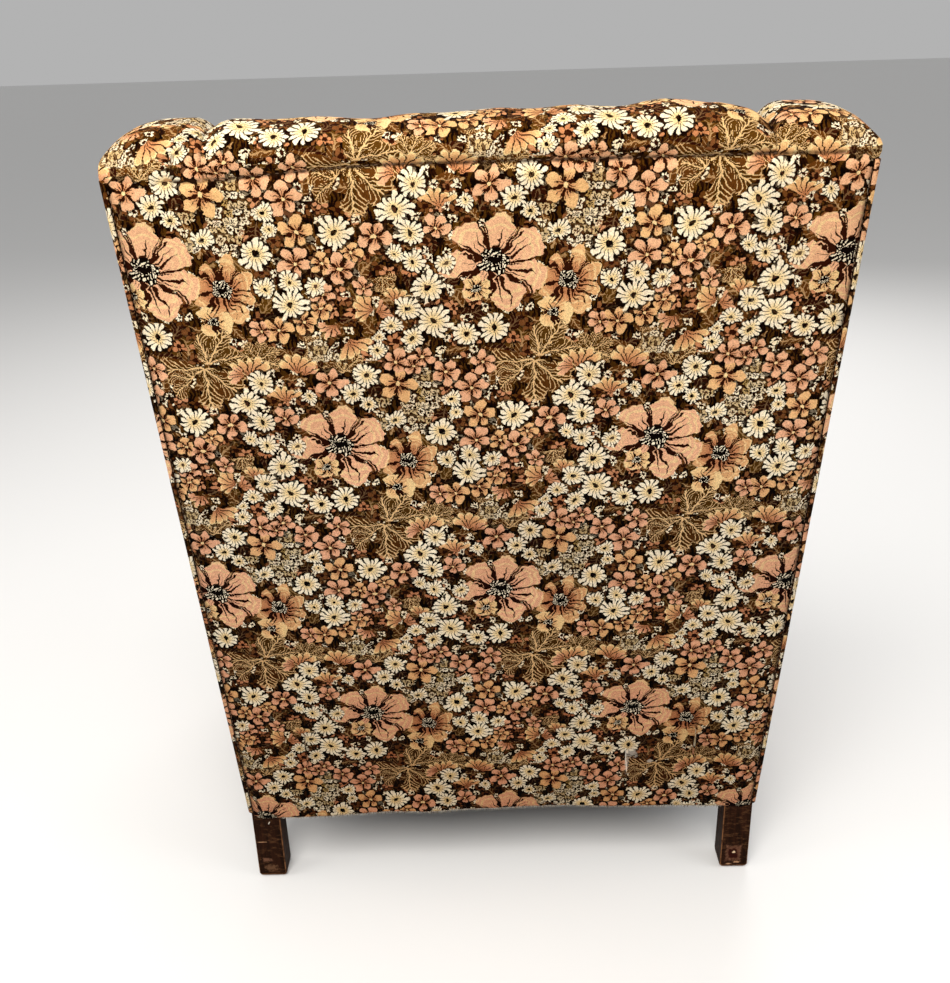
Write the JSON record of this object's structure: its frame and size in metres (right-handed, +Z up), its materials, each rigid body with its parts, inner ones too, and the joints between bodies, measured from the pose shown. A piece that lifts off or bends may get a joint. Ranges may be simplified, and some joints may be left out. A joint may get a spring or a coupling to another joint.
{
  "type": "wing armchair",
  "caption": "Worn high-backed wing armchair covered all over in floral tapestry, with a sunken loose seat cushion and short dark square wooden legs.",
  "frame": {"origin": "centre of the underside of the bounding box, on the floor between the four legs", "axes": "+Z up; -Y the way a sitter faces, so the outside back faces +Y; +X towards the sitter's left"},
  "size_m": [0.7402, 0.7834, 1.0692],
  "materials": {
    "floral_tapestry": "woven, faded and rubbed",
    "stained_hardwood": "dark stained, worn satin",
    "bare_hardwood": "sawn, unfinished",
    "hessian": "coarse weave",
    "black_cambric": "matt, dusty",
    "spring_steel": "dull drawn wire"
  },
  "bodies": {
    "root": {"rear_leg_and_back_post_left": "stained_hardwood", "rear_leg_and_back_post_right": "stained_hardwood", "front_leg_and_arm_post_left": "stained_hardwood", "front_leg_and_arm_post_right": "stained_hardwood", "side_seat_rail_left": "bare_hardwood", "side_seat_rail_right": "bare_hardwood", "front_seat_rail": "bare_hardwood", "rear_seat_rail": "bare_hardwood", "crest_rail": "bare_hardwood", "lower_back_rail": "bare_hardwood", "arm_rail_left": "bare_hardwood", "arm_rail_right": "bare_hardwood", "wing_board_left": "bare_hardwood", "wing_board_right": "bare_hardwood", "front_corner_block_left": "bare_hardwood", "front_corner_block_right": "bare_hardwood", "rear_corner_block_left": "bare_hardwood", "rear_corner_block_right": "bare_hardwood", "seat_spring_1": "spring_steel", "seat_spring_2": "spring_steel", "seat_spring_3": "spring_steel", "seat_spring_4": "spring_steel", "seat_spring_5": "spring_steel", "front_spring_clip_1": "spring_steel", "front_spring_clip_2": "spring_steel", "front_spring_clip_3": "spring_steel", "front_spring_clip_4": "spring_steel", "front_spring_clip_5": "spring_steel", "rear_spring_clip_1": "spring_steel", "rear_spring_clip_2": "spring_steel", "rear_spring_clip_3": "spring_steel", "rear_spring_clip_4": "spring_steel", "rear_spring_clip_5": "spring_steel", "back_webbing_1": "hessian", "back_webbing_2": "hessian", "back_webbing_3": "hessian", "back_webbing_4": "hessian", "outside_back_cover": "floral_tapestry", "side_cover_left": "floral_tapestry", "side_cover_right": "floral_tapestry", "wing_pad_left": "floral_tapestry", "wing_pad_right": "floral_tapestry", "arm_pad_left": "floral_tapestry", "arm_pad_right": "floral_tapestry", "arm_facing_left": "floral_tapestry", "arm_facing_right": "floral_tapestry", "inside_back_pad": "floral_tapestry", "front_border": "floral_tapestry", "seat_deck": "hessian", "seat_cushion": "floral_tapestry", "dust_cloth": "black_cambric"}
  },
  "joints": []
}
